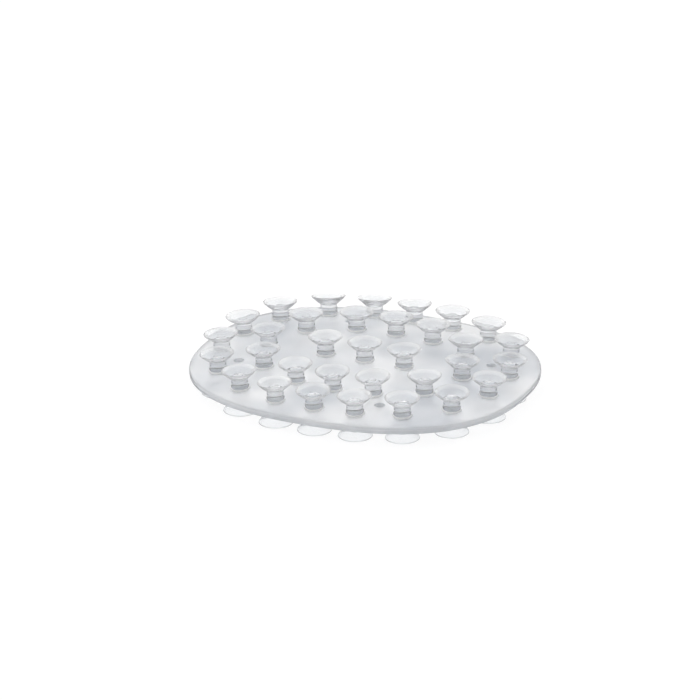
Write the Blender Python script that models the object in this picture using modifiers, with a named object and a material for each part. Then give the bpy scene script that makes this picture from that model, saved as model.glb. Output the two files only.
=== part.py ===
"""Suction cup soap dish: a crowned oval pad that carries double-ended suction cups.

Each cup is one soft turned piece. Its neck passes through a hole in the pad, its collar
sits on the pad's upper face, its upper bell holds the soap and its lower bell grips the
surface that the dish stands on. The origin is on that surface, below the middle of the
pad. +X runs along the pad's length and +Z points up.
"""

import math

import bpy
from mathutils import Vector

MM = 0.001

# The pad, an oval plate that is a little higher in its middle
PAD_LENGTH = 120.0 * MM
PAD_WIDTH = 100.0 * MM
PAD_THICKNESS = 2.5 * MM
PAD_EDGE_ROUND = 0.5 * MM
PAD_CROWN = 1.4 * MM
CROWN_POWER = 2.5
OVAL_POWER = 2.42
PAD_RINGS = 4
PAD_SEGMENTS = 40

# The upper and the lower bell of a cup
RIM_RADIUS = 6.0 * MM
LIP_WIDTH = 0.5 * MM
LIP_THICKNESS = 0.3 * MM
BELL_DEPTH = 3.1 * MM
BELL_WAIST_RADIUS = 4.3 * MM
BELL_WAIST_DEPTH = 1.75 * MM
BOWL_DEPTH = 1.9 * MM
BOWL_FLOOR_RADIUS = 1.9 * MM

# The stem above the pad, the collar that sits on it and the neck through it
UPPER_REACH = 6.8 * MM
LOWER_REACH = 5.5 * MM
STEM_RADIUS = 2.75 * MM
STEM_FOOT_RADIUS = 3.15 * MM
COLLAR_RADIUS = 3.45 * MM
COLLAR_HEIGHT = 0.8 * MM
NECK_RADIUS = 2.4 * MM
SEAT_GAP = 0.15 * MM
NECK_CLEARANCE = 0.3 * MM
CUP_SEGMENTS = 12

# The rings of cups, at equal angles round the middle of the pad
OUTER_CUPS = 18
MIDDLE_CUPS = 12
OUTER_RING_FROM_END = 9.4 * MM
OUTER_RING_FROM_SIDE = 8.4 * MM
RING_STEP_ALONG = 14.2 * MM
RING_STEP_ACROSS = 15.4 * MM
INNER_PITCH = 14.8 * MM

# The drain holes, between the outer and the middle ring
DRAIN_RADIUS = 1.8 * MM
DRAIN_RING_INSET = 7.2 * MM
DRAIN_ANGLES = (20.0, 122.0, 200.0, 302.0)
DRAIN_SEGMENTS = 12

# Worked out from the sizes above
OUTER_RING = (PAD_LENGTH / 2 - OUTER_RING_FROM_END, PAD_WIDTH / 2 - OUTER_RING_FROM_SIDE)
MIDDLE_RING = (OUTER_RING[0] - RING_STEP_ALONG, OUTER_RING[1] - RING_STEP_ACROSS)
DRAIN_RING = (OUTER_RING[0] - DRAIN_RING_INSET, OUTER_RING[1] - DRAIN_RING_INSET)
PAD_TOP = LOWER_REACH + PAD_THICKNESS + PAD_CROWN

MERGE_DISTANCE = 0.00001
CUTTER_OVERRUN = 5.0 * MM
SHARP_ANGLE = math.radians(40)


def clear_scene():
    for item in list(bpy.data.objects):
        bpy.data.objects.remove(item, do_unlink=True)


def new_collection(name):
    collection = bpy.data.collections.new(name)
    bpy.context.scene.collection.children.link(collection)
    return collection


def make_material(name, colour, roughness, transmission):
    material = bpy.data.materials.new(name)
    material.use_nodes = True
    shader = material.node_tree.nodes["Principled BSDF"]
    shader.inputs["Base Color"].default_value = (*colour, 1.0)
    shader.inputs["Roughness"].default_value = roughness
    shader.inputs["Metallic"].default_value = 0.0
    shader.inputs["Transmission Weight"].default_value = transmission
    return material


def on_oval(semi_axes, degrees):
    """The point of an oval that lies at an angle from +X."""
    turn = math.radians(degrees)
    across = abs(math.cos(turn)) / semi_axes[0]
    along = abs(math.sin(turn)) / semi_axes[1]
    reach = (across**OVAL_POWER + along**OVAL_POWER) ** (-1 / OVAL_POWER)
    return reach * math.cos(turn), reach * math.sin(turn)


def ring_level(x, y):
    """How far out a point of the pad is: 0 in the middle, 1 on the outer ring of cups."""
    total = (abs(x) / OUTER_RING[0]) ** OVAL_POWER + (abs(y) / OUTER_RING[1]) ** OVAL_POWER
    return total ** (1 / OVAL_POWER)


def pad_height(x, y):
    """The height of the pad's upper face."""
    return PAD_TOP - PAD_CROWN * ring_level(x, y) ** CROWN_POWER


def pad_lean(x, y):
    """The turn that sets a cup square to the crowned pad."""
    step = MM
    slope_x = (pad_height(x + step, y) - pad_height(x - step, y)) / (2 * step)
    slope_y = (pad_height(x, y + step) - pad_height(x, y - step)) / (2 * step)
    normal = Vector((-slope_x, -slope_y, 1.0))
    return Vector((0, 0, 1)).rotation_difference(normal).to_matrix()


def turn_profile(name, points, segments):
    """A mesh made by turning a profile of (radius, height) points about Z."""
    edges = [(index, index + 1) for index in range(len(points) - 1)]
    profile = bpy.data.meshes.new(name + "_profile")
    profile.from_pydata([(radius, 0.0, height) for radius, height in points], edges, [])
    lathe = bpy.data.objects.new(name + "_lathe", profile)
    bpy.context.scene.collection.objects.link(lathe)
    screw = lathe.modifiers.new("turn", "SCREW")
    screw.steps = segments
    screw.render_steps = segments
    screw.use_merge_vertices = True
    screw.merge_threshold = MERGE_DISTANCE
    bpy.context.view_layer.update()
    evaluated = lathe.evaluated_get(bpy.context.evaluated_depsgraph_get())
    mesh = bpy.data.meshes.new_from_object(evaluated)
    mesh.name = name
    bpy.data.objects.remove(lathe, do_unlink=True)
    return mesh


def add_object(name, mesh, material, collection):
    piece = bpy.data.objects.new(name, mesh)
    mesh.materials.clear()
    mesh.materials.append(material)
    mesh.shade_smooth()
    mesh.set_sharp_from_angle(angle=SHARP_ANGLE)
    collection.objects.link(piece)
    return piece


def bell_profile():
    """One bell from the middle of its bowl to its stem, as (radius, depth below the rim)."""
    return [
        (0.0, BOWL_DEPTH),
        (BOWL_FLOOR_RADIUS, BOWL_DEPTH),
        (RIM_RADIUS - LIP_WIDTH, 0.0),
        (RIM_RADIUS, 0.0),
        (RIM_RADIUS, LIP_THICKNESS),
        (BELL_WAIST_RADIUS, BELL_WAIST_DEPTH),
    ]


def cup_profile():
    """A whole cup from the upper bowl down to the lower one, with the pad's face at 0."""
    upper_rim = UPPER_REACH
    lower_rim = -(PAD_THICKNESS + LOWER_REACH)
    bell = bell_profile()
    upper_bell = [(radius, upper_rim - depth) for radius, depth in bell]
    lower_bell = [(radius, lower_rim + depth) for radius, depth in reversed(bell)]
    stem = [
        (STEM_RADIUS, upper_rim - BELL_DEPTH),
        (STEM_FOOT_RADIUS, SEAT_GAP + COLLAR_HEIGHT),
        (COLLAR_RADIUS, SEAT_GAP + COLLAR_HEIGHT / 2),
        (COLLAR_RADIUS, SEAT_GAP),
        (NECK_RADIUS, SEAT_GAP),
        (NECK_RADIUS, lower_rim + BELL_DEPTH),
    ]
    return upper_bell + stem + lower_bell


def make_cup(name, form, x, y, material, collection):
    """A cup at a hole. Above the pad it leans with the crown, below it stands upright."""
    mesh = form.copy()
    mesh.name = name
    lean = pad_lean(x, y)
    for vertex in mesh.vertices:
        if vertex.co.z > 0:
            vertex.co = lean @ vertex.co
    cup = add_object(name, mesh, material, collection)
    cup.location = (x, y, pad_height(x, y))
    return cup


def cup_places():
    """The name and the place of every cup, ring by ring."""
    places = []
    for index in range(OUTER_CUPS):
        angle = 90 - index * 360 / OUTER_CUPS
        places.append((f"outer_cup_{index + 1:02d}", on_oval(OUTER_RING, angle)))
    for index in range(MIDDLE_CUPS):
        angle = 90 - index * 360 / MIDDLE_CUPS
        places.append((f"middle_cup_{index + 1:02d}", on_oval(MIDDLE_RING, angle)))
    for index, offset in enumerate((-INNER_PITCH, 0.0, INNER_PITCH)):
        places.append((f"inner_cup_{index + 1:02d}", (offset, 0.0)))
    return places


def make_pad_face():
    """The pad's upper face: a turned disc that is drawn out to the oval and crowned."""
    radii = [index / PAD_RINGS for index in range(PAD_RINGS + 1)]
    face = turn_profile("pad", [(radius, 0.0) for radius in radii], PAD_SEGMENTS)
    pad_oval = (PAD_LENGTH / 2, PAD_WIDTH / 2)
    for vertex in face.vertices:
        share = math.hypot(vertex.co.x, vertex.co.y)
        angle = math.degrees(math.atan2(vertex.co.y, vertex.co.x))
        x, y = on_oval(pad_oval, angle)
        x *= share
        y *= share
        vertex.co = (x, y, pad_height(x, y))
    return face


def make_hole_cutter(name, x, y, radius, segments, collection):
    """An upright cylinder through the pad."""
    low = pad_height(x, y) - PAD_THICKNESS - CUTTER_OVERRUN
    high = pad_height(x, y) + CUTTER_OVERRUN
    bpy.ops.mesh.primitive_cylinder_add(
        vertices=segments,
        radius=radius,
        depth=high - low,
        location=(x, y, (high + low) / 2),
    )
    cutter = bpy.context.object
    cutter.name = name
    cutter.hide_render = True
    cutter.display_type = "WIRE"
    for owner in list(cutter.users_collection):
        owner.objects.unlink(cutter)
    collection.objects.link(cutter)
    return cutter


def make_pad(places, material, collection, cutters):
    """The crowned plate, with a hole for each cup's neck and the drain holes."""
    pad = add_object("pad", make_pad_face(), material, collection)
    shell = pad.modifiers.new("thickness", "SOLIDIFY")
    shell.thickness = PAD_THICKNESS
    shell.offset = -1.0
    edge = pad.modifiers.new("rounded edge", "BEVEL")
    edge.width = PAD_EDGE_ROUND
    edge.segments = 2
    edge.limit_method = "ANGLE"
    edge.angle_limit = math.radians(60)

    for name, (x, y) in places:
        radius = NECK_RADIUS + NECK_CLEARANCE
        make_hole_cutter(name + "_hole", x, y, radius, CUP_SEGMENTS, cutters)
    for index, angle in enumerate(DRAIN_ANGLES):
        x, y = on_oval(DRAIN_RING, angle)
        make_hole_cutter(f"drain_{index + 1}", x, y, DRAIN_RADIUS, DRAIN_SEGMENTS, cutters)
    holes = pad.modifiers.new("holes", "BOOLEAN")
    holes.operation = "DIFFERENCE"
    holes.solver = "EXACT"
    holes.operand_type = "COLLECTION"
    holes.collection = cutters
    return pad


def make_soap_dish():
    clear_scene()
    dish = new_collection("suction_cup_soap_dish")
    cutters = new_collection("cutters")
    frosted = make_material("frosted_pad", (0.80, 0.81, 0.83), 0.45, 0.35)
    clear = make_material("clear_cup", (0.93, 0.94, 0.95), 0.08, 0.85)

    places = cup_places()
    make_pad(places, frosted, dish, cutters)
    form = turn_profile("cup", cup_profile(), CUP_SEGMENTS)
    for name, (x, y) in places:
        make_cup(name, form, x, y, clear, dish)
    bpy.data.meshes.remove(form)


make_soap_dish()
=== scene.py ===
"""The looks of a suction cup soap dish: a frosted oval pad that carries clear soft cups."""

import math
import random

import bmesh
import bpy
from mathutils import Matrix, Vector


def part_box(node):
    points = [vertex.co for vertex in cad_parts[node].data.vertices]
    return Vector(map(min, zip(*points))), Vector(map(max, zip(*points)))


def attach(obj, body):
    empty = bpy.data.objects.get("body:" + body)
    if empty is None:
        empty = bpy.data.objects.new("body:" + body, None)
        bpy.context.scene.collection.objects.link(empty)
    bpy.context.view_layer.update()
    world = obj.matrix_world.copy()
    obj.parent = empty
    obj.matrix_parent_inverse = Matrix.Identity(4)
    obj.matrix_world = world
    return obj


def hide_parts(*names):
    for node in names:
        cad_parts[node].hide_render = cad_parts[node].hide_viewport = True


MM = 0.001

# The pad
OVAL_POWER = 2.42
PAD_CROWN = 1.4 * MM
CROWN_POWER = 2.5
PAD_THICKNESS = 2.5 * MM
PAD_EDGE_ROUND = 0.55 * MM
PAD_EDGE_STEPS = 6
PAD_RINGS = 26
PAD_RING_SPREAD = 0.9
PAD_SEGMENTS = 192
PAD_SHARP_ANGLE = math.radians(35)
PARTING_LINE_HEIGHT = 0.07 * MM
PARTING_LINE_HALF_FOOT = 0.16 * MM
PARTING_LINE_HALF_RIDGE = 0.05 * MM
OUTER_RING_FROM_END = 9.4 * MM
OUTER_RING_FROM_SIDE = 8.4 * MM

# How far the pad's true outline lies outside the flat facets of the frame's pad
OUTLINE_PAST_FACETS = (0.03 * MM, 0.04 * MM)

# Where the pad's border, which carries a painted dark contour, begins and is complete, as shares of
# the way to the outline
BORDER_FROM = 0.967
BORDER_FULL = 0.99

# The pad's holes
NECK_HOLE_RADIUS = 2.66 * MM
DRAIN_RADIUS = 1.8 * MM
DRAIN_WALL_REACH = 1.05
DRAIN_RING_INSET = 7.2 * MM
DRAIN_ANGLES = (20.0, 122.0, 200.0, 302.0)
HOLE_SEGMENTS = 40
CUTTER_ABOVE_PAD = 3 * MM

# The cups
UPPER_REACH = 6.8 * MM
LOWER_REACH = 5.5 * MM
LOWER_LIP_HEIGHT = 0.05 * MM
BELL_FROM_SEAT = 4.2 * MM
RIM_RADIUS = 6.0 * MM
NECK_RADIUS = 2.56 * MM
NECK_TOP = 0.05 * MM
NECK_BELOW_PAD = 1.6 * MM
CUP_SEGMENTS = 56
CURVE_STEPS = 4
STEM_STEPS = 3
LIP_STEPS = 2
COLLAR_STEPS = 2

# A cup's curves, as (radius, depth below its rim) in millimetres
BOWL_CURVE = (
    (0.0, 1.45), (1.1, 1.47), (1.5, 1.55), (1.72, 1.76), (1.86, 1.98), (2.1, 2.04),
    (2.6, 1.88), (3.5, 1.4), (4.4, 0.87), (5.2, 0.38), (5.75, 0.06),
)
LIP_CURVE = ((5.86, 0.0), (5.96, 0.02), (6.0, 0.1), (5.97, 0.26))
BELL_CURVE = (
    (5.74, 0.56), (5.28, 0.98), (4.52, 1.6), (3.78, 2.18), (3.24, 2.58), (2.99, 2.87), (2.9, 3.27),
)
STEM_CURVE = (
    (2.88, 4.2), (2.92, 4.9), (3.0, 5.3), (3.08, 5.6), (3.08, 5.9), (2.95, 6.2), (2.86, 6.6),
)
COLLAR_CURVE = (
    (2.8, 6.1), (3.0, 6.12), (3.2, 6.22), (3.33, 6.4), (3.38, 6.6), (3.34, 6.76), (2.8, 6.76),
)

# How whitened an upper bell is at a radius from its axis, down to a depth, in millimetres: the
# button and the lip are partly milky plastic and partly painted light
MILKY_AND_PAINTED_LIGHT_BELL = (
    (0.0, 0.3), (1.3, 0.35), (1.6, 1.0), (1.9, 1.0), (2.3, 0.1), (4.9, 0.1), (5.4, 1.0), (6.1, 1.0),
)
MILKY_AND_PAINTED_LIGHT_BELL_DEPTH = 3

# The radius in millimetres from which the lip is a whiter band of its own, partly milky and partly
# a painted highlight
MILKY_AND_PAINTED_LIGHT_RIM_FROM = 4.9

# How grey the plastic looks, from 0 for clear to 1 for grey. The stem's is by depth in millimetres.
# Thick plastic is greyer, and the bowl's wall, the stem's band above its foot and the lower lip are
# greyer still as painted shade
BOWL_TINT = 0.66
NECK_TINT = 0.3
LOWER_LIP_TINT = 0.6
TINTED_STEM = ((0.0, 0.8), (2.4, 0.8), (3.0, 0.85), (4.8, 0.85), (5.3, 0.9), (7.0, 0.9))
STEM_TINT_FROM = 0.7

# How far an upper rim waves, and its waves as (how many go round it, how high they are)
RIM_WAVE = 0.06 * MM
RIM_WAVES = ((2, 1.0), (3, 0.6), (5, 0.3))

# How far a bell may sit askew, and the share of a cup's reach at which it begins to
RIM_TILT = math.radians(1.2)
WAIST_SHARE = 0.55

# How far the softest upper bells have sagged away from the camera's side, in degrees
SAGGED_BELLS = {
    "outer_cup_16": 4.0, "outer_cup_17": 7.5, "outer_cup_18": 7.5, "outer_cup_01": 3.5,
    "outer_cup_08": 2.6, "outer_cup_09": 3.5, "outer_cup_11": 5.2, "outer_cup_12": 4.4,
    "middle_cup_03": 2.6, "middle_cup_04": 2.3, "middle_cup_05": 4.4,
}

# The level of a noise texture below which, and above which, hardly any of it lies
NOISE_LOW = 0.3
NOISE_HIGH = 0.7

# The photograph's camera, which looks at the pad's middle from the right of its front
VIEW_AZIMUTH = math.radians(24.86)
VIEW_ELEVATION = math.radians(22.58)
VIEW_ROLL = math.radians(0.742)
VIEW_DISTANCE = 2.4
VIEW_FAR_END = 20.0
FOCAL_PIXELS = 6980.5
PICTURE_PIXELS = 700
MIDDLE_FROM_CENTRE_PIXELS = (14.8, -10.4)
SENSOR_WIDTH = 36.0
PAD_MIDDLE_HEIGHT = 9.4 * MM

# The floor
FLOOR_HALF_SIZE = 4.0
FLOOR_DROP = 0.05 * MM
FLOOR_GLOW = 0.86

# The room is white on the side that the light comes from and dimmer opposite
BRIGHT_SIDE = (0.65, 0.6, 0.47)
DIM_SIDE_FROM = -0.8
BRIGHT_SIDE_FROM = 0.2
DIM_SIDE_LEVEL = 0.55
ROOM_LIGHT_LEVEL = 0.6

# The softboxes, as (name, place, width and height, watts). Both are turned to the dish
SOFTBOXES = (
    ("key_softbox", (-0.3, 0.6, 1.0), (1.8, 1.5), 5.8),
    ("fill_softbox", (-0.7, -0.6, 0.8), (1.4, 1.2), 2.5),
)


def on_oval(semi_axes, degrees):
    """The point of an oval that lies at an angle from +X."""
    turn = math.radians(degrees)
    across = abs(math.cos(turn)) / semi_axes[0]
    along = abs(math.sin(turn)) / semi_axes[1]
    reach = (across**OVAL_POWER + along**OVAL_POWER) ** (-1 / OVAL_POWER)
    return Vector((reach * math.cos(turn), reach * math.sin(turn)))


def smooth_curve(points, steps):
    """A curve through the points, with a few steps from each point to the next."""
    curve = []
    for index in range(len(points) - 1):
        before = Vector(points[max(index - 1, 0)])
        start = Vector(points[index])
        end = Vector(points[index + 1])
        after = Vector(points[min(index + 2, len(points) - 1)])
        for step in range(steps):
            t = step / steps
            start_pull = start * 2 + (end - before) * t
            bend = (before * 2 - start * 5 + end * 4 - after) * t * t
            turn = (start * 3 - before - end * 3 + after) * t * t * t
            curve.append((start_pull + bend + turn) / 2)
    curve.append(Vector(points[-1]))
    return curve


def ring_mesh(name, rings, first_pole, last_pole):
    """A closed mesh from rings of points and a single point at each end."""
    count = len(rings[0])
    points = [first_pole]
    for ring in rings:
        points.extend(ring)
    points.append(last_pole)
    faces = []
    for step in range(count):
        following = (step + 1) % count
        faces.append((0, 1 + step, 1 + following))
    for row in range(len(rings) - 1):
        start = 1 + row * count
        for step in range(count):
            following = (step + 1) % count
            below = start + count
            faces.append((start + step, below + step, below + following, start + following))
    start = 1 + (len(rings) - 1) * count
    last = len(points) - 1
    for step in range(count):
        following = (step + 1) % count
        faces.append((start + step, last, start + following))
    mesh = bpy.data.meshes.new(name)
    mesh.from_pydata(points, [], faces)
    mesh.validate()
    mesh.shade_smooth()
    return mesh


def add_piece(name, mesh, material):
    piece = bpy.data.objects.new(name, mesh)
    piece.data.materials.append(material)
    bpy.context.scene.collection.objects.link(piece)
    return piece


def write_levels(mesh, quality, levels):
    """Writes a level for each point of a mesh, which its material reads."""
    mesh.attributes.new(quality, "FLOAT", "POINT").data.foreach_set("value", levels)


class CupStand:
    """Where a cup of the frame stands: its seat on the pad and the way its upper half leans."""

    def __init__(self, node):
        points = [vertex.co for vertex in node.data.vertices]
        low = min(point.z for point in points)
        lower_lip = [point for point in points if point.z < low + LOWER_LIP_HEIGHT]
        centre = sum(lower_lip, Vector()) / len(lower_lip)
        self.seat = Vector((centre.x, centre.y, low + LOWER_REACH + PAD_THICKNESS))
        bell = [point for point in points if point.z > self.seat.z + BELL_FROM_SEAT]
        bell_middle = sum(bell, Vector()) / len(bell)
        upright = Vector((0, 0, 1))
        self.lean = upright.rotation_difference(bell_middle - self.seat).to_matrix()


def level_at(pairs, place):
    """The level at a place on a line of straight stretches."""
    for (start, low), (end, high) in zip(pairs, pairs[1:]):
        if place <= end:
            return low + (high - low) * (place - start) / (end - start)
    return pairs[-1][1]


def cup_profile():
    """A cup's outline from the upper bowl to the lower one.

    Each point is (radius, height, milkiness, tint, rim), the first two in metres.
    """
    bowl = smooth_curve(BOWL_CURVE, CURVE_STEPS) + smooth_curve(LIP_CURVE, LIP_STEPS)
    underside = smooth_curve(BELL_CURVE, CURVE_STEPS)
    profile = []
    for radius, depth in bowl:
        rim = 1.0 if radius >= MILKY_AND_PAINTED_LIGHT_RIM_FROM else 0.0
        milky_and_painted_light_share = level_at(MILKY_AND_PAINTED_LIGHT_BELL, radius)
        profile.append((radius * MM, UPPER_REACH - depth * MM, milky_and_painted_light_share, BOWL_TINT, rim))
    for radius, depth in underside + smooth_curve(STEM_CURVE, STEM_STEPS):
        rim = 1.0 if radius >= MILKY_AND_PAINTED_LIGHT_RIM_FROM else 0.0
        milky_and_painted_light_share = level_at(MILKY_AND_PAINTED_LIGHT_BELL, radius) if depth < MILKY_AND_PAINTED_LIGHT_BELL_DEPTH else 0.0
        tint = level_at(TINTED_STEM, depth)
        profile.append((radius * MM, UPPER_REACH - depth * MM, milky_and_painted_light_share, tint, rim))
    neck_foot = -PAD_THICKNESS - NECK_BELOW_PAD
    for height in (NECK_TOP, -PAD_THICKNESS / 2, -PAD_THICKNESS, neck_foot):
        profile.append((NECK_RADIUS, height, 0.0, NECK_TINT, 0.0))
    lower_rim = -(PAD_THICKNESS + LOWER_REACH)
    for radius, depth in reversed(bowl + underside):
        tint = LOWER_LIP_TINT if radius > LIP_CURVE[0][0] else 0.0
        profile.append((radius * MM, lower_rim + depth * MM, 0.0, tint, 0.0))
    return profile


def mark_milky_and_painted_light_rim(mesh):
    """Gives the third material to the outer band of the upper bell."""
    milky = mesh.attributes["rim"].data
    for face in mesh.polygons:
        if min(milky[corner].value for corner in face.vertices) > 0.5:
            face.material_index = 2


def add_collar(mesh, stand):
    """Adds the ring that a stem stands in, white as painted light, as a closed loop with the second
    material.
    """
    section = smooth_curve(COLLAR_CURVE, COLLAR_STEPS)
    shape = bmesh.new()
    shape.from_mesh(mesh)
    rings = []
    for radius, depth in section:
        ring = []
        for step in range(CUP_SEGMENTS):
            angle = math.tau * step / CUP_SEGMENTS
            point = Vector((radius * MM * math.cos(angle), radius * MM * math.sin(angle), 0))
            point.z = UPPER_REACH - depth * MM
            ring.append(shape.verts.new(stand.seat + stand.lean @ point))
        rings.append(ring)
    for row, ring in enumerate(rings):
        following_ring = rings[(row + 1) % len(rings)]
        for step in range(CUP_SEGMENTS):
            following = (step + 1) % CUP_SEGMENTS
            corners = (ring[step], following_ring[step], following_ring[following], ring[following])
            face = shape.faces.new(corners)
            face.material_index = 1
            face.smooth = True
    shape.to_mesh(mesh)
    shape.free()


def make_cup(name, stand, plastics, sag, seed):
    """One soft cup. Its upper rim waves a little and its upper bell sits slightly askew."""
    draw = random.Random(seed)
    # Four pairs are drawn and three make waves: the fourth keeps the tilt's draw in its place
    waves = [(draw.uniform(0.3, 1.0), draw.uniform(0, math.tau)) for _ in range(4)]
    tilt_axis = Vector((math.cos(waves[0][1]), math.sin(waves[0][1]), 0))
    tilt = Matrix.Rotation(draw.uniform(-RIM_TILT, RIM_TILT), 3, tilt_axis)
    sag_axis = Vector((math.cos(VIEW_AZIMUTH), math.sin(VIEW_AZIMUTH), 0))
    tilt = Matrix.Rotation(-math.radians(sag), 3, sag_axis) @ tilt
    waist = Vector((0, 0, UPPER_REACH * WAIST_SHARE))
    profile = cup_profile()
    rings = []
    for radius, height, _, _, _ in profile[1:-1]:
        ring = []
        reach = UPPER_REACH if height > 0 else PAD_THICKNESS + LOWER_REACH
        towards_rim = max(0.0, abs(height) / reach - WAIST_SHARE) / (1 - WAIST_SHARE)
        flare = towards_rim * (radius / RIM_RADIUS) ** 2
        askew = Matrix.Identity(3).lerp(tilt, towards_rim)
        for step in range(CUP_SEGMENTS):
            angle = math.tau * step / CUP_SEGMENTS
            point = Vector((radius * math.cos(angle), radius * math.sin(angle), height))
            if height > 0:
                wave = 0.0
                for (count, share), (size, start) in zip(RIM_WAVES, waves):
                    wave += share * size * math.sin(count * angle + start)
                point.z = height + RIM_WAVE * flare * wave
                point = stand.lean @ (waist + askew @ (point - waist))
            ring.append(stand.seat + point)
        rings.append(ring)
    top_pole = sum(rings[0], Vector()) / len(rings[0])
    bottom_pole = stand.seat + Vector((0, 0, profile[-1][1]))
    mesh = ring_mesh(name, rings, top_pole, bottom_pole)
    for column, quality in ((2, "milky_and_painted_light_share"), (3, "tint"), (4, "rim")):
        levels = [profile[0][column]]
        for point in profile[1:-1]:
            levels += [point[column]] * CUP_SEGMENTS
        levels.append(profile[-1][column])
        write_levels(mesh, quality, levels)
    mark_milky_and_painted_light_rim(mesh)
    add_collar(mesh, stand)
    cup = add_piece(name, mesh, plastics[0])
    mesh.materials.append(plastics[1])
    mesh.materials.append(plastics[2])
    return cup


class PadShape:
    """The pad's outline and crown, worked out from the frame's own pad."""

    def __init__(self):
        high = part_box("pad")[1]
        self.half = (high.x + OUTLINE_PAST_FACETS[0], high.y + OUTLINE_PAST_FACETS[1])
        end = self.half[0] - OUTER_RING_FROM_END
        side = self.half[1] - OUTER_RING_FROM_SIDE
        self.outer_ring = (end, side)
        self.drain_ring = (end - DRAIN_RING_INSET, side - DRAIN_RING_INSET)
        self.top = PAD_MIDDLE_HEIGHT

    def height(self, x, y):
        """The height of the upper face, which falls from the middle outwards."""
        level = (abs(x) / self.outer_ring[0]) ** OVAL_POWER
        level += (abs(y) / self.outer_ring[1]) ** OVAL_POWER
        return self.top - PAD_CROWN * level ** (CROWN_POWER / OVAL_POWER)

    def nearness_to_edge(self, x, y):
        """0 over most of the pad, and up to 1 at its rounded edge."""
        level = (abs(x) / self.half[0]) ** OVAL_POWER
        level += (abs(y) / self.half[1]) ** OVAL_POWER
        reach = level ** (1 / OVAL_POWER)
        return min(max((reach - BORDER_FROM) / (BORDER_FULL - BORDER_FROM), 0.0), 1.0)


def pad_section():
    """The pad's half section as (inset from the outline, depth below the upper face)."""
    edge = PAD_EDGE_ROUND
    turns = [math.pi / 2 * step / PAD_EDGE_STEPS for step in range(PAD_EDGE_STEPS + 1)]
    middle = PAD_THICKNESS / 2
    section = [(edge * (1 - math.sin(turn)), edge * (1 - math.cos(turn))) for turn in turns]
    section.append((0.0, middle - PARTING_LINE_HALF_FOOT))
    section.append((-PARTING_LINE_HEIGHT, middle - PARTING_LINE_HALF_RIDGE))
    section.append((-PARTING_LINE_HEIGHT, middle + PARTING_LINE_HALF_RIDGE))
    section.append((0.0, middle + PARTING_LINE_HALF_FOOT))
    for turn in reversed(turns):
        depth = PAD_THICKNESS - edge * (1 - math.cos(turn))
        section.append((edge * (1 - math.sin(turn)), depth))
    return section


def hole_cutter(name, places, radius, low, high):
    """Upright cylinders through the pad, as one cutting mesh."""
    points = []
    faces = []
    for x, y in places:
        first = len(points)
        for height in (low, high):
            for step in range(HOLE_SEGMENTS):
                angle = math.tau * step / HOLE_SEGMENTS
                points.append((x + radius * math.cos(angle), y + radius * math.sin(angle), height))
        upper = first + HOLE_SEGMENTS
        faces.append([first + step for step in reversed(range(HOLE_SEGMENTS))])
        faces.append([upper + step for step in range(HOLE_SEGMENTS)])
        for step in range(HOLE_SEGMENTS):
            following = (step + 1) % HOLE_SEGMENTS
            faces.append((first + step, first + following, upper + following, upper + step))
    mesh = bpy.data.meshes.new(name)
    mesh.from_pydata(points, [], faces)
    cutter = bpy.data.objects.new(name, mesh)
    bpy.context.scene.collection.objects.link(cutter)
    return cutter


def cut_away(piece, cutter):
    """Cuts one object out of another and removes the cutter."""
    cut = piece.modifiers.new("holes", "BOOLEAN")
    cut.operation = "DIFFERENCE"
    cut.solver = "EXACT"
    cut.object = cutter
    bpy.context.view_layer.update()
    evaluated = piece.evaluated_get(bpy.context.evaluated_depsgraph_get())
    mesh = bpy.data.meshes.new_from_object(evaluated)
    piece.modifiers.clear()
    piece.data = mesh
    bpy.data.objects.remove(cutter, do_unlink=True)


def make_pad(shape, stands, material):
    """The crowned pad with its parting line, its holes for the necks and its drain holes."""
    section = pad_section()
    levels = [(step / PAD_RINGS) ** PAD_RING_SPREAD for step in range(1, PAD_RINGS)]
    rows = [(level, None, 0.0) for level in levels]
    rows += [(1.0, inset, depth) for inset, depth in section]
    rows += [(level, None, PAD_THICKNESS) for level in reversed(levels)]
    outline = [on_oval(shape.half, 360 * step / PAD_SEGMENTS) for step in range(PAD_SEGMENTS)]
    rings = []
    for level, inset, depth in rows:
        ring = []
        for point in outline:
            margin = PAD_EDGE_ROUND if inset is None else inset
            spot = point * (1 - margin / point.length) * level
            ring.append(Vector((spot.x, spot.y, shape.height(spot.x, spot.y) - depth)))
        rings.append(ring)
    top = Vector((0, 0, shape.top))
    mesh = ring_mesh("frosted_pad", rings, top, top - Vector((0, 0, PAD_THICKNESS)))
    pad = add_piece("frosted_pad", mesh, material)
    low = 0.0
    high = shape.top + CUTTER_ABOVE_PAD
    necks = [(stand.seat.x, stand.seat.y) for stand in stands]
    cut_away(pad, hole_cutter("neck_holes", necks, NECK_HOLE_RADIUS, low, high))
    drains = [on_oval(shape.drain_ring, angle) for angle in DRAIN_ANGLES]
    cut_away(pad, hole_cutter("drain_holes", drains, DRAIN_RADIUS, low, high))
    pad.data.shade_smooth()
    pad.data.set_sharp_from_angle(angle=PAD_SHARP_ANGLE)
    drain_wall = DRAIN_WALL_REACH * DRAIN_RADIUS
    depths = []
    borders = []
    for vertex in pad.data.vertices:
        x, y, z = vertex.co
        in_drain = any((Vector((x, y)) - drain).length < drain_wall for drain in drains)
        depths.append(0.0 if in_drain else (shape.height(x, y) - z) / PAD_THICKNESS)
        borders.append(shape.nearness_to_edge(x, y))
    write_levels(pad.data, "depth", depths)
    write_levels(pad.data, "border", borders)
    return pad


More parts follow.
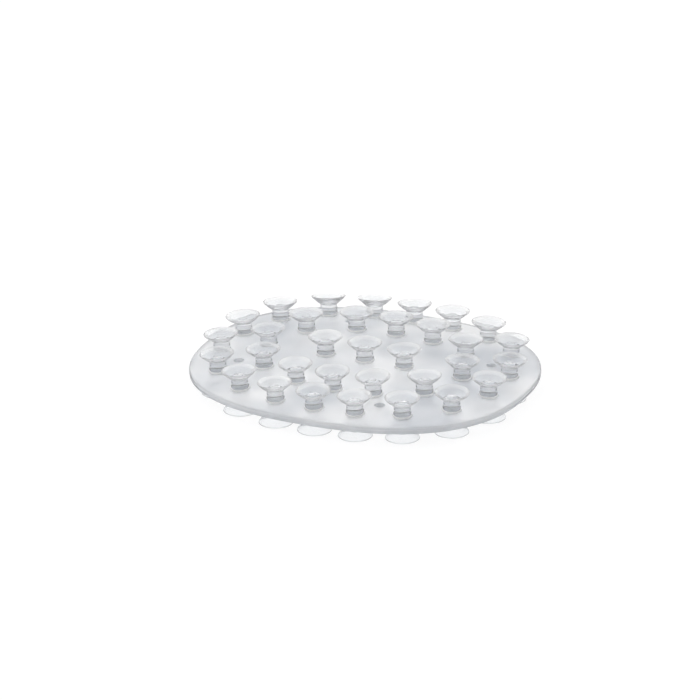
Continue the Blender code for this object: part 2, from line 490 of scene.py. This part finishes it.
class NodeBench:
    """A node tree, with a short way to add and join each kind of node that is used here."""

    def __init__(self, tree):
        self.nodes = tree.nodes
        self.links = tree.links

    def fill(self, socket, content):
        """Gives an input another node's output or a plain value."""
        if isinstance(content, bpy.types.NodeSocket):
            self.links.new(content, socket)
        else:
            socket.default_value = content

    def add(self, kind, contents):
        """A new node with its inputs filled."""
        node = self.nodes.new(kind)
        for name, content in contents.items():
            self.fill(node.inputs[name], content)
        return node

    def add_group(self, group, contents):
        """A shared effect, placed in a material with its own values."""
        node = self.nodes.new("ShaderNodeGroup")
        node.node_tree = group
        for name, content in contents.items():
            self.fill(node.inputs[name], content)
        return node

    def level_of(self, quality):
        """The level that each point of the mesh holds under a name."""
        reading = self.nodes.new("ShaderNodeAttribute")
        reading.attribute_name = quality
        return reading.outputs["Fac"]

    def noise(self, place, scale, detail):
        contents = {"Vector": place, "Scale": scale, "Detail": detail}
        return self.add("ShaderNodeTexNoise", contents)

    def ramp(self, number, low, high):
        """A number that goes from 0 to 1 as another goes from low to high."""
        contents = {"Value": number, "From Min": low, "From Max": high}
        return self.add("ShaderNodeMapRange", contents).outputs["Result"]

    def mix(self, kind, share, first, second):
        """A mix of two colours, RGBA, or of two numbers, FLOAT."""
        node = self.nodes.new("ShaderNodeMix")
        node.data_type = kind
        self.fill(node.inputs["Factor"], share)
        self.fill(node.inputs["A"], first)
        self.fill(node.inputs["B"], second)
        return node.outputs["Result"]

    def maths(self, operation, *numbers):
        """What a sum makes of the numbers that other nodes put out."""
        node = self.nodes.new("ShaderNodeMath")
        node.operation = operation
        for socket, number in zip(node.inputs, numbers):
            self.links.new(number, socket)
        return node.outputs["Value"]

    def facing_for_painted_shade(self):
        """How far the surface turns away from the ray, for painted shade at the sides of clear
        plastic.
        """
        return self.add("ShaderNodeLayerWeight", {"Blend": 0.5}).outputs["Facing"]

    def add_skin(self, skin, shader, distance, strength):
        """Joins a moulded skin to a shader's roughness and normal."""
        contents = {"Distance": distance, "Strength": strength, "Height": skin.outputs["Height"]}
        bump = self.add("ShaderNodeBump", contents)
        self.links.new(bump.outputs["Normal"], shader.inputs["Normal"])
        self.links.new(skin.outputs["Roughness"], shader.inputs["Roughness"])

    def let_lamps_through(self, shader, tint):
        """Clear plastic casts only a thin shadow: a lamp's light goes on through it."""
        path = self.nodes.new("ShaderNodeLightPath")
        film = self.add("ShaderNodeBsdfTransparent", {"Color": tint})
        choice = self.nodes.new("ShaderNodeMixShader")
        self.links.new(path.outputs["Is Shadow Ray"], choice.inputs["Fac"])
        self.links.new(shader.outputs["BSDF"], choice.inputs[1])
        self.links.new(film.outputs["BSDF"], choice.inputs[2])
        self.links.new(choice.outputs["Shader"], self.nodes["Material Output"].inputs["Surface"])

    def white_for_the_eye(self):
        """1 for rays that come straight from the camera or through gloss or glass, else 0."""
        path = self.nodes.new("ShaderNodeLightPath").outputs
        seen = self.maths("MAXIMUM", path["Is Camera Ray"], path["Is Glossy Ray"])
        return self.maths("MAXIMUM", seen, path["Is Transmission Ray"])


def new_group(name, inputs, outputs):
    """An empty shader node group with named sockets."""
    group = bpy.data.node_groups.new(name, "ShaderNodeTree")
    for socket_name, kind, value in inputs:
        socket = group.interface.new_socket(socket_name, in_out="INPUT", socket_type=kind)
        socket.default_value = value
    for socket_name, kind in outputs:
        group.interface.new_socket(socket_name, in_out="OUTPUT", socket_type=kind)
    entry = group.nodes.new("NodeGroupInput")
    result = group.nodes.new("NodeGroupOutput")
    return group, entry.outputs, result.inputs


def cloudy_plastic_group():
    """Soft plastic that is a little clearer here and milkier there."""
    group, given, result = new_group(
        "cloudy_plastic",
        [
            ("Clear Colour", "NodeSocketColor", (0.9, 0.9, 0.9, 1)),
            ("Milky Colour", "NodeSocketColor", (0.8, 0.8, 0.8, 1)),
            ("Patch Scale", "NodeSocketFloat", 60.0),
            ("Patch Shift", "NodeSocketVector", (0.0, 0.0, 0.0)),
        ],
        [("Color", "NodeSocketColor")],
    )
    bench = NodeBench(group)
    place = bench.nodes.new("ShaderNodeTexCoord").outputs["Object"]
    shifted = bench.add("ShaderNodeVectorMath", {0: place, 1: given["Patch Shift"]})
    patches = bench.noise(shifted.outputs["Vector"], given["Patch Scale"], detail=2.0)
    patches.inputs["Roughness"].default_value = 0.45
    share = bench.ramp(patches.outputs["Fac"], low=NOISE_LOW, high=NOISE_HIGH)
    colour = bench.mix("RGBA", share, given["Clear Colour"], given["Milky Colour"])
    bench.links.new(colour, result["Color"])
    return group


def moulded_skin_group():
    """The fine grain and slow ripple that a mould leaves, as a height and a roughness."""
    group, given, result = new_group(
        "moulded_skin",
        [
            ("Grain Scale", "NodeSocketFloat", 3000.0),
            ("Ripple Scale", "NodeSocketFloat", 120.0),
            ("Ripple Share", "NodeSocketFloat", 0.6),
            ("Lowest Roughness", "NodeSocketFloat", 0.3),
            ("Highest Roughness", "NodeSocketFloat", 0.5),
        ],
        [("Height", "NodeSocketFloat"), ("Roughness", "NodeSocketFloat")],
    )
    bench = NodeBench(group)
    place = bench.nodes.new("ShaderNodeTexCoord").outputs["Object"]
    grain = bench.noise(place, given["Grain Scale"], detail=3.0).outputs["Fac"]
    ripple = bench.noise(place, given["Ripple Scale"], detail=1.0).outputs["Fac"]
    gloss = bench.add("ShaderNodeMapRange", {
        "Value": grain,
        "From Min": NOISE_LOW,
        "From Max": NOISE_HIGH,
        "To Min": given["Lowest Roughness"],
        "To Max": given["Highest Roughness"],
    })
    height = bench.mix("FLOAT", given["Ripple Share"], grain, ripple)
    bench.links.new(height, result["Height"])
    bench.links.new(gloss.outputs["Result"], result["Roughness"])
    return group


def new_material(name, shader_values):
    """A material whose shader has some plain values, with a bench to add the rest."""
    material = bpy.data.materials.new(name)
    material.use_nodes = True
    bench = NodeBench(material.node_tree)
    shader = bench.nodes["Principled BSDF"]
    for socket, value in shader_values.items():
        shader.inputs[socket].default_value = value
    return material, bench, shader


def clear_cup_material(cloudy_plastic, moulded_skin):
    """Clear, glossy soft plastic with painted shade at the stem's sides, grey where it is thick and
    greyer still as painted shade, and whiter at the button and the lip, partly milky and partly
    painted light.
    """
    material, bench, shader = new_material("clear_cup", {
        "IOR": 1.31,
        "Transmission Weight": 0.92,
    })
    cloudy = bench.add_group(cloudy_plastic, {
        "Clear Colour": (0.83, 0.84, 0.855, 1),
        "Milky Colour": (0.74, 0.75, 0.765, 1),
        "Patch Scale": 120.0,
    })
    skin = bench.add_group(moulded_skin, {
        "Grain Scale": 2600.0,
        "Ripple Scale": 260.0,
        "Ripple Share": 0.92,
        "Lowest Roughness": 0.08,
        "Highest Roughness": 0.12,
    })
    tint = bench.level_of("tint")
    milky_and_painted_light_share = bench.level_of("milky_and_painted_light_share")
    thin_tone = (0.965, 0.975, 0.985, 1)
    # Partly painted shade: the grey follows the plastic's thickness, and is deeper on the bowl's
    # wall, the stem's band and the lower lip.
    thick_and_shaded_tone = bench.mix("RGBA", tint, thin_tone, cloudy.outputs["Color"])
    painted_dark_side = bench.ramp(bench.facing_for_painted_shade(), low=0.4, high=0.8)
    stem_only = bench.ramp(tint, low=STEM_TINT_FROM, high=1.0)
    painted_dark_side_share = bench.maths("MULTIPLY", painted_dark_side, stem_only)
    # Painted shade: the stem's sides are darkened towards near black where the surface turns away
    # from the ray.
    edge_tone_with_painted_shade = bench.mix("RGBA", painted_dark_side_share, thick_and_shaded_tone, (0.12, 0.125, 0.135, 1))
    # Partly painted light: the button and the lip are whitened towards near white, partly for milky
    # plastic.
    milky_and_painted_light_tone = bench.mix("RGBA", milky_and_painted_light_share, edge_tone_with_painted_shade, (0.965, 0.98, 1.0, 1))
    milky_gloss = bench.mix("FLOAT", milky_and_painted_light_share, skin.outputs["Roughness"], 0.22)
    bench.add_skin(skin, shader, distance=0.12 * MM, strength=0.05)
    bench.links.new(milky_and_painted_light_tone, shader.inputs["Base Color"])
    bench.links.new(milky_gloss, shader.inputs["Roughness"])
    bench.let_lamps_through(shader, (1.0, 1.0, 1.0, 1))
    return material


def milky_and_painted_light_rim_material(cloudy_plastic, moulded_skin):
    """The whiter band round the lip of an upper bell, partly milky plastic and partly a painted
    highlight.
    """
    material, bench, shader = new_material("milky_and_painted_light_rim", {
        "IOR": 1.38,
        "Transmission Weight": 0.75,
    })
    cloudy = bench.add_group(cloudy_plastic, {
        "Clear Colour": (0.97, 0.975, 0.985, 1),
        "Milky Colour": (1.0, 1.0, 1.0, 1),
        "Patch Scale": 200.0,
    })
    skin = bench.add_group(moulded_skin, {
        "Grain Scale": 2600.0,
        "Ripple Scale": 260.0,
        "Ripple Share": 0.9,
        "Lowest Roughness": 0.16,
        "Highest Roughness": 0.26,
    })
    # Partly a painted highlight: the lip's band is near white, partly for milky plastic.
    bench.links.new(cloudy.outputs["Color"], shader.inputs["Base Color"])
    bench.add_skin(skin, shader, distance=0.12 * MM, strength=0.05)
    bench.let_lamps_through(shader, (1.0, 1.0, 1.0, 1))
    return material


def painted_light_collar_material(cloudy_plastic, moulded_skin):
    """The white ring where a stem spreads on the pad: painted light for the light that the clear
    foot gathers.
    """
    material, bench, shader = new_material("painted_light_collar", {
        "IOR": 1.42,
        "Transmission Weight": 0.0,
        "Subsurface Weight": 0.8,
        "Subsurface Radius": (1.0, 1.0, 1.0),
        "Subsurface Scale": 1.5 * MM,
    })
    cloudy = bench.add_group(cloudy_plastic, {
        "Clear Colour": (0.97, 0.975, 0.985, 1),
        "Milky Colour": (1.0, 1.0, 1.0, 1),
        "Patch Scale": 300.0,
    })
    skin = bench.add_group(moulded_skin, {
        "Grain Scale": 2600.0,
        "Ripple Scale": 260.0,
        "Ripple Share": 0.9,
        "Lowest Roughness": 0.12,
        "Highest Roughness": 0.22,
    })
    # Painted light: the collar's near-white colour stands in for light gathered in the clear foot.
    bench.links.new(cloudy.outputs["Color"], shader.inputs["Base Color"])
    bench.add_skin(skin, shader, distance=0.12 * MM, strength=0.2)
    bench.let_lamps_through(shader, (0.95, 0.955, 0.96, 1))
    return material


def frosted_pad_material(cloudy_plastic, moulded_skin):
    """Cloudy, translucent soft plastic with a streaked edge that is greyer towards its foot as
    painted shade.

    Its border has a painted dark contour, darkest where the surface turns away from the ray.
    """
    material, bench, shader = new_material("frosted_pad", {
        "IOR": 1.45,
        "Transmission Weight": 0.4,
        "Subsurface Weight": 0.6,
        "Subsurface Radius": (1.0, 1.0, 1.0),
        "Subsurface Scale": 3.0 * MM,
    })
    cloudy = bench.add_group(cloudy_plastic, {
        "Clear Colour": (0.7, 0.72, 0.755, 1),
        "Milky Colour": (0.95, 0.955, 0.965, 1),
        "Patch Scale": 45.0,
        "Patch Shift": (0.354, 0.192, 0.338),
    })
    skin = bench.add_group(moulded_skin, {
        "Grain Scale": 2200.0,
        "Ripple Scale": 90.0,
        "Ripple Share": 0.75,
        "Lowest Roughness": 0.12,
        "Highest Roughness": 0.22,
    })
    place = bench.nodes.new("ShaderNodeTexCoord").outputs
    direction = bench.add("ShaderNodeSeparateXYZ", {"Vector": place["Normal"]})
    flatness = bench.maths("ABSOLUTE", direction.outputs["Z"])
    edge = bench.ramp(flatness, low=0.9, high=0.35)
    along_edge = bench.add("ShaderNodeMapping", {
        "Vector": place["Object"],
        "Scale": (60.0, 60.0, 1500.0),
    })
    streaks = bench.noise(along_edge.outputs["Vector"], scale=1.0, detail=2.0)
    contrast = bench.ramp(streaks.outputs["Fac"], low=0.35, high=0.65)
    streak_tone = bench.mix("RGBA", contrast, (0.78, 0.8, 0.83, 1), (0.97, 0.98, 1.0, 1))
    # Painted shade: the pad's sides and the walls of the neck holes grow greyer towards the bottom.
    towards_shaded_foot = bench.ramp(bench.level_of("depth"), low=0.15, high=0.8)
    painted_foot_shade_tone = bench.mix("RGBA", towards_shaded_foot, streak_tone, (0.76, 0.78, 0.81, 1))
    edge_tone_with_painted_shade = bench.mix("RGBA", edge, cloudy.outputs["Color"], painted_foot_shade_tone)
    # Painted shade: a dark contour on the border, where the surface turns away from the ray.
    painted_contour = bench.ramp(bench.facing_for_painted_shade(), low=0.6, high=0.8)
    painted_contour_share = bench.maths("MULTIPLY", painted_contour, bench.level_of("border"))
    painted_contour_tone = bench.mix("RGBA", painted_contour_share, edge_tone_with_painted_shade, (0.16, 0.17, 0.19, 1))
    edge_gloss = bench.mix("FLOAT", edge, skin.outputs["Roughness"], 0.14)
    bench.add_skin(skin, shader, distance=0.1 * MM, strength=0.2)
    bench.links.new(painted_contour_tone, shader.inputs["Base Color"])
    bench.links.new(edge_gloss, shader.inputs["Roughness"])
    bench.let_lamps_through(shader, (0.7, 0.71, 0.73, 1))
    return material


def floor_material():
    """A pale floor that shows white, with a faint soft shadow."""
    material, bench, shader = new_material("pale_floor", {})
    bench.nodes.remove(shader)
    pale = bench.add("ShaderNodeBsdfDiffuse", {"Color": (0.86, 0.86, 0.86, 1)})
    glow = bench.add("ShaderNodeEmission", {"Strength": FLOOR_GLOW})
    shade = bench.add("ShaderNodeBsdfDiffuse", {"Color": (0.2, 0.2, 0.2, 1)})
    seen = bench.add("ShaderNodeAddShader", {0: glow.outputs["Emission"], 1: shade.outputs["BSDF"]})
    choice = bench.nodes.new("ShaderNodeMixShader")
    bench.links.new(bench.white_for_the_eye(), choice.inputs["Fac"])
    bench.links.new(pale.outputs["BSDF"], choice.inputs[1])
    bench.links.new(seen.outputs["Shader"], choice.inputs[2])
    bench.links.new(choice.outputs["Shader"], bench.nodes["Material Output"].inputs["Surface"])
    return material


def make_floor():
    half = FLOOR_HALF_SIZE
    mesh = bpy.data.meshes.new("floor")
    corners = [(-half, -half, 0), (half, -half, 0), (half, half, 0), (-half, half, 0)]
    mesh.from_pydata(corners, [], [(0, 1, 2, 3)])
    floor = add_piece("floor", mesh, floor_material())
    floor.location.z = -FLOOR_DROP


def make_world():
    """A white room for the eye and the gloss, and a plain level for the light it gives."""
    world = bpy.data.worlds.new("white_room")
    world.use_nodes = True
    bpy.context.scene.world = world
    bench = NodeBench(world.node_tree)
    direction = bench.nodes.new("ShaderNodeTexCoord").outputs["Generated"]
    towards_light = bench.nodes.new("ShaderNodeVectorMath")
    towards_light.operation = "DOT_PRODUCT"
    bench.fill(towards_light.inputs[0], direction)
    bench.fill(towards_light.inputs[1], BRIGHT_SIDE)
    room = bench.add("ShaderNodeMapRange", {
        "Value": towards_light.outputs["Value"],
        "From Min": DIM_SIDE_FROM,
        "From Max": BRIGHT_SIDE_FROM,
        "To Min": DIM_SIDE_LEVEL,
    })
    path = bench.nodes.new("ShaderNodeLightPath").outputs
    level = bench.add("ShaderNodeMapRange", {
        "Value": bench.white_for_the_eye(),
        "To Min": ROOM_LIGHT_LEVEL,
        "To Max": bench.maths("MAXIMUM", room.outputs["Result"], path["Is Camera Ray"]),
    })
    background = bench.nodes["Background"]
    background.inputs["Color"].default_value = (1, 1, 1, 1)
    bench.links.new(level.outputs["Result"], background.inputs["Strength"])


def make_softbox(name, place, size, watts):
    """A soft lamp that is turned to the middle of the floor under the dish."""
    lamp = bpy.data.lights.new(name, "AREA")
    lamp.shape = "RECTANGLE"
    lamp.size, lamp.size_y = size
    lamp.energy = watts
    holder = bpy.data.objects.new(name, lamp)
    holder.location = place
    holder.rotation_mode = "QUATERNION"
    holder.rotation_quaternion = (-Vector(place)).to_track_quat("-Z", "Y")
    bpy.context.scene.collection.objects.link(holder)


def make_camera():
    """The photograph's camera. It looks past the pad's middle, which sits off centre."""
    side = Vector((math.cos(VIEW_AZIMUTH), math.sin(VIEW_AZIMUTH), 0))
    inward = Vector((-math.sin(VIEW_AZIMUTH), math.cos(VIEW_AZIMUTH), 0))
    flat = math.cos(VIEW_ELEVATION)
    steep = math.sin(VIEW_ELEVATION)
    upward = inward * steep + Vector((0, 0, flat))
    back = Vector((0, 0, steep)) - inward * flat
    right = side * math.cos(VIEW_ROLL) - upward * math.sin(VIEW_ROLL)
    up = side * math.sin(VIEW_ROLL) + upward * math.cos(VIEW_ROLL)
    per_pixel = VIEW_DISTANCE / FOCAL_PIXELS
    middle = Vector((0, 0, PAD_MIDDLE_HEIGHT))
    middle -= side * MIDDLE_FROM_CENTRE_PIXELS[0] * per_pixel
    middle -= upward * MIDDLE_FROM_CENTRE_PIXELS[1] * per_pixel
    data = bpy.data.cameras.new("camera")
    data.sensor_width = SENSOR_WIDTH
    data.lens = FOCAL_PIXELS / PICTURE_PIXELS * SENSOR_WIDTH
    data.clip_end = VIEW_FAR_END
    camera = bpy.data.objects.new("camera", data)
    camera.matrix_world = Matrix((right, up, back)).transposed().to_4x4()
    camera.location = middle + back * VIEW_DISTANCE
    bpy.context.scene.collection.objects.link(camera)
    bpy.context.scene.camera = camera


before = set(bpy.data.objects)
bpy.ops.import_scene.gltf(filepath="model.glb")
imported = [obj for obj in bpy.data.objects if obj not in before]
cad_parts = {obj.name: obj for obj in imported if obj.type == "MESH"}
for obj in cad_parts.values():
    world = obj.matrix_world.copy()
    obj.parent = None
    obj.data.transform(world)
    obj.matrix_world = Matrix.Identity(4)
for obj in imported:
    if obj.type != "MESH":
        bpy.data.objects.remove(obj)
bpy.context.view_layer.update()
bpy.context.scene.view_settings.view_transform = "Standard"
make_camera()

cloudy_plastic = cloudy_plastic_group()
moulded_skin = moulded_skin_group()
clear_cup = clear_cup_material(cloudy_plastic, moulded_skin)
painted_light_collar = painted_light_collar_material(cloudy_plastic, moulded_skin)
milky_and_painted_light_rim = milky_and_painted_light_rim_material(cloudy_plastic, moulded_skin)
cup_plastics = (clear_cup, painted_light_collar, milky_and_painted_light_rim)
frosted = frosted_pad_material(cloudy_plastic, moulded_skin)

cup_nodes = sorted(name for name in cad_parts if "_cup_" in name)
stands = {name: CupStand(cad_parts[name]) for name in cup_nodes}
for seed, name in enumerate(cup_nodes):
    sag = SAGGED_BELLS.get(name, 0.0)
    cup = make_cup("soft_" + name, stands[name], cup_plastics, sag, seed)
    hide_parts(name)
    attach(cup, name)

pad = make_pad(PadShape(), list(stands.values()), frosted)
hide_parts("pad")
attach(pad, "pad")

make_floor()
make_world()
for softbox in SOFTBOXES:
    make_softbox(*softbox)
